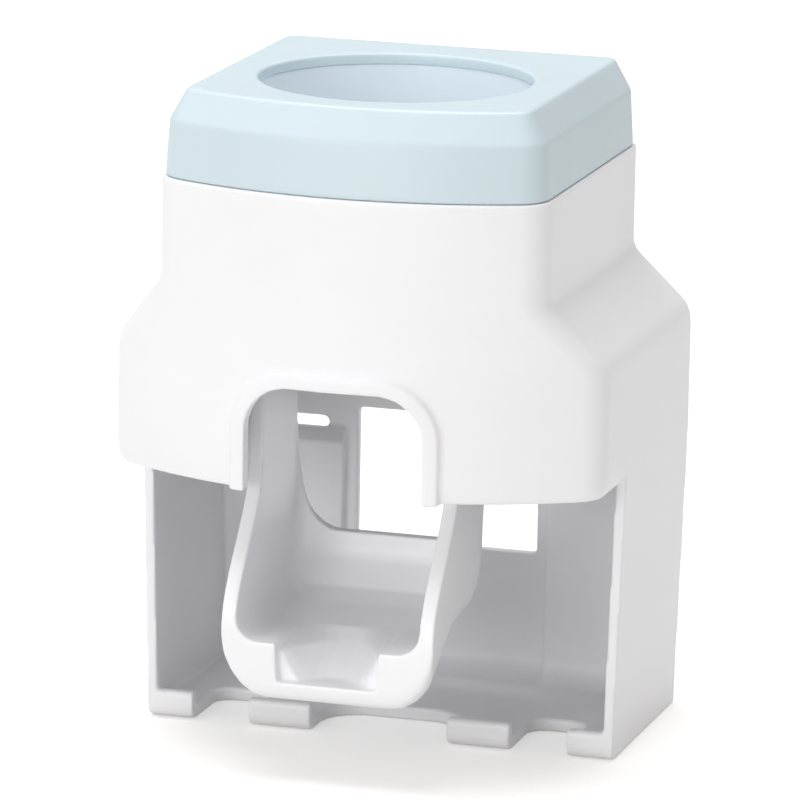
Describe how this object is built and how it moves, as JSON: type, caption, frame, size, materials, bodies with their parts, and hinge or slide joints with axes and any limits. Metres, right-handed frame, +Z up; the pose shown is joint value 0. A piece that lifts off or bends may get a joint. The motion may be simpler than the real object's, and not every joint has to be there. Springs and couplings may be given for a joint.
{
  "type": "wall toothpaste dispenser",
  "caption": "Wall toothpaste dispenser: bowed white housing with brush bays, pale blue cap with a tube opening, and a scoop lever that works a bellows pump.",
  "frame": {"origin": "centre of the overall outline on the base plane, 1.5 mm behind the foot of the vertical pump axis", "axes": "+X right seen from the front, +Y to the wall, +Z up; the bowed front looks to -Y"},
  "size_m": [0.1098, 0.092, 0.146],
  "materials": {
    "white_shell": "satin",
    "blue_cap": "satin",
    "clear_liner": "satin",
    "white_lever": "satin",
    "inner_frame": "satin",
    "silicone": "matt",
    "steel": "drawn"
  },
  "bodies": {
    "shell": {"housing": "white_shell", "pump_frame": "inner_frame", "inlet_seal": "silicone", "seal_ring": "inner_frame", "inlet_valve": "silicone", "squeeze_bellows": "silicone", "return_spring": "steel", "pivot_pin_left": "steel", "pivot_pin_right": "steel", "frame_screws": "steel"},
    "lever": {"push_lever": "white_lever"},
    "pump_presser": {"presser": "inner_frame", "outlet_valve": "silicone", "outlet_nozzle": "white_lever"},
    "cap": {"top_cap": "blue_cap", "tube_sleeve": "clear_liner"}
  },
  "joints": [
    {"name": "lever_swing", "type": "hinge", "parent": "shell", "child": "lever", "pos_m": [0, -0.0155, 0.098], "axis": [1, 0, 0], "range_deg": [0, 16], "stiffness_Nm_per_rad": 1.6, "springref_deg": -4.58},
    {"name": "presser_slide", "type": "slide", "parent": "shell", "child": "pump_presser", "axis": [0, 0, 1], "range_m": [0, 0.004], "deforming": ["squeeze_bellows", "return_spring"]},
    {"name": "cap_lift", "type": "slide", "parent": "shell", "child": "cap", "axis": [0, 0, 1], "range_m": [0, 0.03]}
  ],
  "couplings": [
    {"joint": "presser_slide", "follows": "lever_swing", "m_per_rad": 0.0143}
  ]
}
